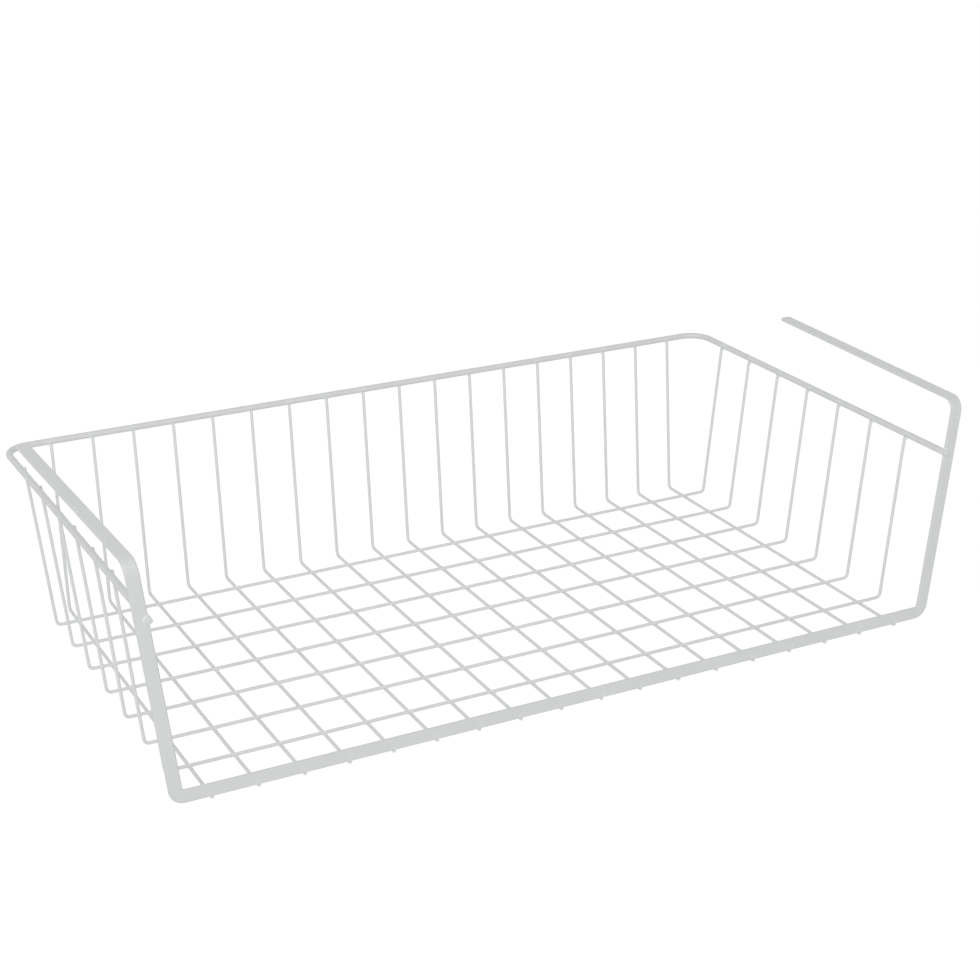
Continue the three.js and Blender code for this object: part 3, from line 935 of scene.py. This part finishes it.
class MakeStage(bpy.types.Operator):
    """Set up the pale floor, the soft light and the camera."""

    bl_idname = "basket.stage"
    bl_label = "Stage"

    def execute(self, context):
        """Makes floor, surroundings, lamps and camera."""
        look = context.scene.studio_look
        self.make_floor(look)
        self.make_surroundings(context.scene, look)
        self.make_lamp(look)
        self.make_camera(context.scene)
        return {"FINISHED"}

    def make_floor(self, look):
        """A flat sheet under the long wires. The camera sees it white with a faint shadow: it
        glows by what the sky's mean light leaves short of white. From below it is clear, so that
        the basket's underside shows."""
        ticks = np.linspace(-FLOOR_REACH, FLOOR_REACH, FLOOR_CELLS + 1)
        x, y = np.meshgrid(ticks, ticks, indexing="ij")
        points = side_by_side(x, y, FLOOR_Z).reshape(-1, 3)
        corner = np.arange(x.size).reshape(x.shape)
        faces = np.stack([corner[:-1, :-1], corner[1:, :-1], corner[1:, 1:], corner[:-1, 1:]], 2)
        mesh = bpy.data.meshes.new("floor")
        mesh.from_pydata(points.tolist(), [], faces.reshape(-1, 4).tolist())
        material = bpy.data.materials.new("pale_floor")
        tree = empty_tree(material)
        path = add_node(tree, "LightPath").outputs
        thrown = add_node(tree, "Emission", Strength=look.floor).outputs[0]
        shade = add_node(tree, "BsdfDiffuse", Color=(look.shade,) * 3 + (1,)).outputs[0]
        sky = (look.level + 2 * look.above) / 3
        white = add_node(tree, "Emission", Strength=1.01 - look.shade * sky).outputs[0]
        seen = add_node(tree, "AddShader", shade, white).outputs[0]
        mix = add_node(tree, "MixShader", path["Is Camera Ray"], thrown, seen).outputs[0]
        below = add_node(tree, "NewGeometry").outputs["Backfacing"]
        clear = add_node(tree, "BsdfTransparent").outputs[0]
        sheet = add_node(tree, "MixShader", below, mix, clear).outputs[0]
        add_node(tree, "OutputMaterial", sheet)
        mesh.materials.append(material)
        add_object("floor", mesh)

    def make_surroundings(self, scene, look):
        """Soft light from all round, fullest at the horizon. The camera and shiny skins see
        white."""
        world = bpy.data.worlds.new("studio")
        tree = empty_tree(world)
        path = add_node(tree, "LightPath").outputs
        seen = combined(tree, "MAXIMUM", path["Is Camera Ray"], path["Is Glossy Ray"])
        seen = combined(tree, "MAXIMUM", seen, path["Is Transmission Ray"])
        direction = add_node(tree, "TexCoord").outputs["Generated"]
        rise = add_node(tree, "SeparateXYZ", direction).outputs["Z"]
        soft = spread(tree, rise, (look.level, look.above))
        strength = add_node(tree, "Mix", data_type="FLOAT", Factor=seen, A=soft, B=1)
        background = add_node(tree, "Background", Color=(1, 1, 1, 1),
                              Strength=strength.outputs["Result"])
        add_node(tree, "OutputWorld", background.outputs[0])
        scene.world = world

    def make_lamp(self, look):
        """One large soft lamp in front, to the left and above, that faces the basket."""
        lamp = bpy.data.lights.new("front_softbox", "AREA")
        lamp.shape = "RECTANGLE"
        lamp.size, lamp.size_y = LAMP_SIZE
        lamp.energy = look.key
        facing = (Vector(LAMP_AIM) - Vector(LAMP_PLACE)).to_track_quat("-Z", "Y")
        holder = add_object("front_softbox", lamp)
        holder.matrix_world = Matrix.Translation(LAMP_PLACE) @ facing.to_matrix().to_4x4()

    def make_camera(self, scene):
        """The camera stands in front, to the left and above. It turns by yaw from straight back to
        the right, tips down by pitch and rolls a little."""
        forward = np.array([math.sin(CAMERA_YAW), math.cos(CAMERA_YAW), 0])
        ahead = forward * math.cos(CAMERA_PITCH) - [0, 0, math.sin(CAMERA_PITCH)]
        level = np.array([math.cos(CAMERA_YAW), -math.sin(CAMERA_YAW), 0])
        down = np.cross(ahead, level)
        right = level * math.cos(CAMERA_ROLL) + down * math.sin(CAMERA_ROLL)
        up = level * math.sin(CAMERA_ROLL) - down * math.cos(CAMERA_ROLL)
        turn = Matrix([[right[k], up[k], -ahead[k]] for k in range(3)])
        camera = bpy.data.cameras.new("camera")
        camera.sensor_fit = "HORIZONTAL"
        camera.sensor_width = 36
        camera.lens = CAMERA_LENS
        camera.clip_start = 0.01
        camera.clip_end = 50
        holder = add_object("camera", camera)
        holder.matrix_world = Matrix.Translation(CAMERA_PLACE) @ turn.to_4x4()
        scene.camera = holder
        scene.view_settings.view_transform = "Standard"


class BasketPanel(bpy.types.Panel):
    """Sizes, coating, studio and the pieces, in the order in which they are made."""

    bl_idname = "VIEW3D_PT_under_shelf_basket"
    bl_label = "Under Shelf Basket"
    bl_space_type = "VIEW_3D"
    bl_region_type = "UI"
    bl_category = "Basket"

    def draw(self, context):
        """Lists the sizes and looks, then a button for each operator."""
        scene = context.scene
        for group in (scene.basket_sizes, scene.coating_look, scene.studio_look):
            column = self.layout.column(align=True)
            for name in group.__annotations__:
                column.prop(group, name)
        column = self.layout.column(align=True)
        for operator in OPERATORS:
            column.operator(operator.bl_idname)


OPERATORS = (MakeStrip, MakeRim, MakeCrossWires, MakeLongWires, MakeWelds, MakeStage)
GROUPS = (BasketSizes, CoatingLook, StudioLook)


def register():
    """Registers all classes and hangs the settings on the scene."""
    for kind in (*GROUPS, *OPERATORS, BasketPanel):
        bpy.utils.register_class(kind)
    bpy.types.Scene.basket_sizes = PointerProperty(type=BasketSizes)
    bpy.types.Scene.coating_look = PointerProperty(type=CoatingLook)
    bpy.types.Scene.studio_look = PointerProperty(type=StudioLook)


def unregister():
    """Takes the settings and all classes away again."""
    del bpy.types.Scene.studio_look
    del bpy.types.Scene.coating_look
    del bpy.types.Scene.basket_sizes
    for kind in (BasketPanel, *reversed(OPERATORS), *reversed(GROUPS)):
        bpy.utils.unregister_class(kind)


def main():
    """Makes the whole basket on its stage."""
    register()
    bpy.ops.basket.strip()
    bpy.ops.basket.rim()
    bpy.ops.basket.cross_wires()
    bpy.ops.basket.long_wires()
    bpy.ops.basket.welds()
    bpy.ops.basket.stage()


if __name__ == "__main__":
    main()
